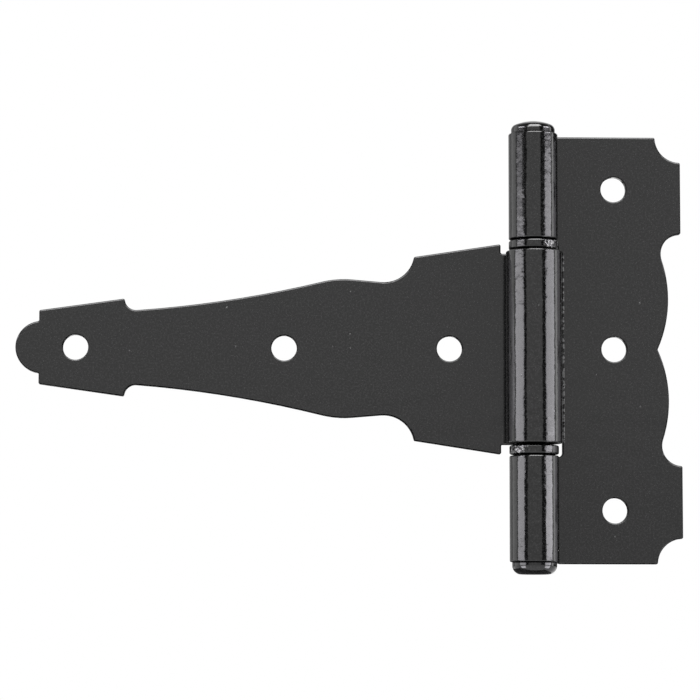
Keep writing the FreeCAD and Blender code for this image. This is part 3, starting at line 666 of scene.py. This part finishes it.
def edge_shade_mask(tree, given, facing, across):
    """Painted shade: 1 on the rims and walls of the flat plates, less so on those that face up."""
    rim = ramp(tree, sums(tree, "ABSOLUTE", facing.outputs["Y"]), *RIM_FACING)
    plate = ramp(tree, sums(tree, "ABSOLUTE", across), *PLATE_START)
    # Painted shade: a lower edge is darkened the most, and an upper edge the least.
    under = ramp(tree, facing.outputs["Z"], *UNDER_FACING)
    spread = sums(tree, "SUBTRACT", given["Lower Edges"], given["Upper Edges"])
    thin = sums(tree, "MULTIPLY_ADD", under, spread, given["Upper Edges"])
    return product(tree, rim, plate, thin)


def make_dull_group():
    """Two outputs of painted shade: Gap is 1 inside the barrel's gaps, and the other is 1 on the rims and
    walls of the flat plates.
    """
    group = new_group("painted_shade_places", DULL_INPUTS, DULL_OUTPUTS)
    given = group.nodes.new("NodeGroupInput").outputs
    made = group.nodes.new("NodeGroupOutput").inputs
    place = add(group, "ShaderNodeTexCoord")
    at = add(group, "ShaderNodeSeparateXYZ")
    group.links.new(place.outputs["Object"], at.inputs[0])
    facing = add(group, "ShaderNodeSeparateXYZ")
    group.links.new(place.outputs["Normal"], facing.inputs[0])
    across = sums(group, "SUBTRACT", at.outputs["X"], given["Axis X"])
    group.links.new(gap_shade_mask(group, given, at, facing, across), made["Gap"])
    group.links.new(edge_shade_mask(group, given, facing, across), made["Edge Shade"])
    return group


dull_group = make_dull_group()
print("dull group:", len(dull_group.nodes), "nodes")

# %% [markdown]
# ## A coat of enamel
# A coat is one Principled BSDF with both groups. The enamel group gives its bump, roughness and grey. The
# masks of painted shade then take the shine away: both make the place black and metallic, and the gaps are
# rough as well. A darkened edge keeps the coat's own smoothness, because a rough edge picks up the pale
# floor when it is seen at a low angle.

# %% a coat of enamel
ENAMEL_IOR = 1.5
GAP_ROUGHNESS = 0.5


def place_group(tree, group, values):
    """A group's node in a material, with its own values for some of the inputs, by label."""
    node = add(tree, "ShaderNodeGroup", {"node_tree": group})
    for label, value in values.items():
        node.inputs[label].default_value = value
    return node


def make_enamel(name, values, covered=None):
    """A coat with its own values for the enamel group, and covered's for the group of dull places."""
    material = bpy.data.materials.new(name)
    material.use_nodes = True
    tree = material.node_tree
    shader = tree.nodes["Principled BSDF"]
    shader.inputs["IOR"].default_value = ENAMEL_IOR
    coat = place_group(tree, enamel_group, values)
    dull = place_group(tree, dull_group, covered or {})
    bump = add(tree, "ShaderNodeBump", Distance=1.0, Strength=1.0)
    tree.links.new(coat.outputs["Height"], bump.inputs["Height"])
    tree.links.new(bump.outputs["Normal"], shader.inputs["Normal"])
    rough = add(tree, "ShaderNodeMix", {"data_type": "FLOAT"}, B=GAP_ROUGHNESS)
    tree.links.new(dull.outputs["Gap"], rough.inputs["Factor"])
    tree.links.new(coat.outputs["Roughness"], rough.inputs["A"])
    tree.links.new(rough.outputs[0], shader.inputs["Roughness"])
    # Painted shade: the gaps and the plates' edges turn black and metallic.
    mask = sums(tree, "MAXIMUM", dull.outputs["Gap"], dull.outputs["Edge Shade"])
    paint = add(tree, "ShaderNodeVectorMath", {"operation": "SCALE"})
    tree.links.new(coat.outputs["Color"], paint.inputs[0])
    tree.links.new(sums(tree, "SUBTRACT", 1.0, mask), paint.inputs["Scale"])
    tree.links.new(paint.outputs[0], shader.inputs["Base Color"])
    tree.links.new(mask, shader.inputs["Metallic"])
    return material


print("gap roughness", GAP_ROUGHNESS)

# %% [markdown]
# ## Three coats
# The leaves, the pin and the washers wear the same enamel, each with its own marks. The leaves have the
# rolled skin and the painted highlight along the window's edge. The pin is smoother, because it was
# turned, and all of it is hidden as far as the barrel goes, so painted shade masks its shank out to the
# barrel's radius. That mask stands a hair higher than the barrel, and paints shade on the seams where the
# pin's two ends come out. The washers are the roughest, and carry the dried lumps with their painted
# highlights.

# %% the three coats
# Painted shade: how far the pin's dark mask is raised, so that it darkens the seams.
SEAM_LINE = 0.2 * MM
COATS = {
    "leaf": make_enamel("sheet_enamel", {"Bend Depth": 0.06 * MM, "Edge Glint": 0.25}),
    "pin": make_enamel("pin_enamel", {"Wave Depth": 0.03 * MM},
                       {"Shank Radius": BARREL_RADIUS, "Middle Height": SEAM_LINE}),
    "washer": make_enamel("washer_enamel", {"Peel Size": 1.1 * MM, "Peel Depth": 0.03 * MM,
                                            "Lump Depth": 0.35 * MM, "Lump Glint": 0.4}),
}
for name, node in frame["nodes"].items():
    coat = COATS[name.split("_")[1]]
    for slot in node.material_slots:
        slot.material = coat
    print(name, "wears", coat.name)

# %% [markdown]
# ## Finish
# The picture is shown without any tone curve, so that a colour looks as it is written.

# %% finish
bpy.context.scene.view_settings.view_transform = "Standard"
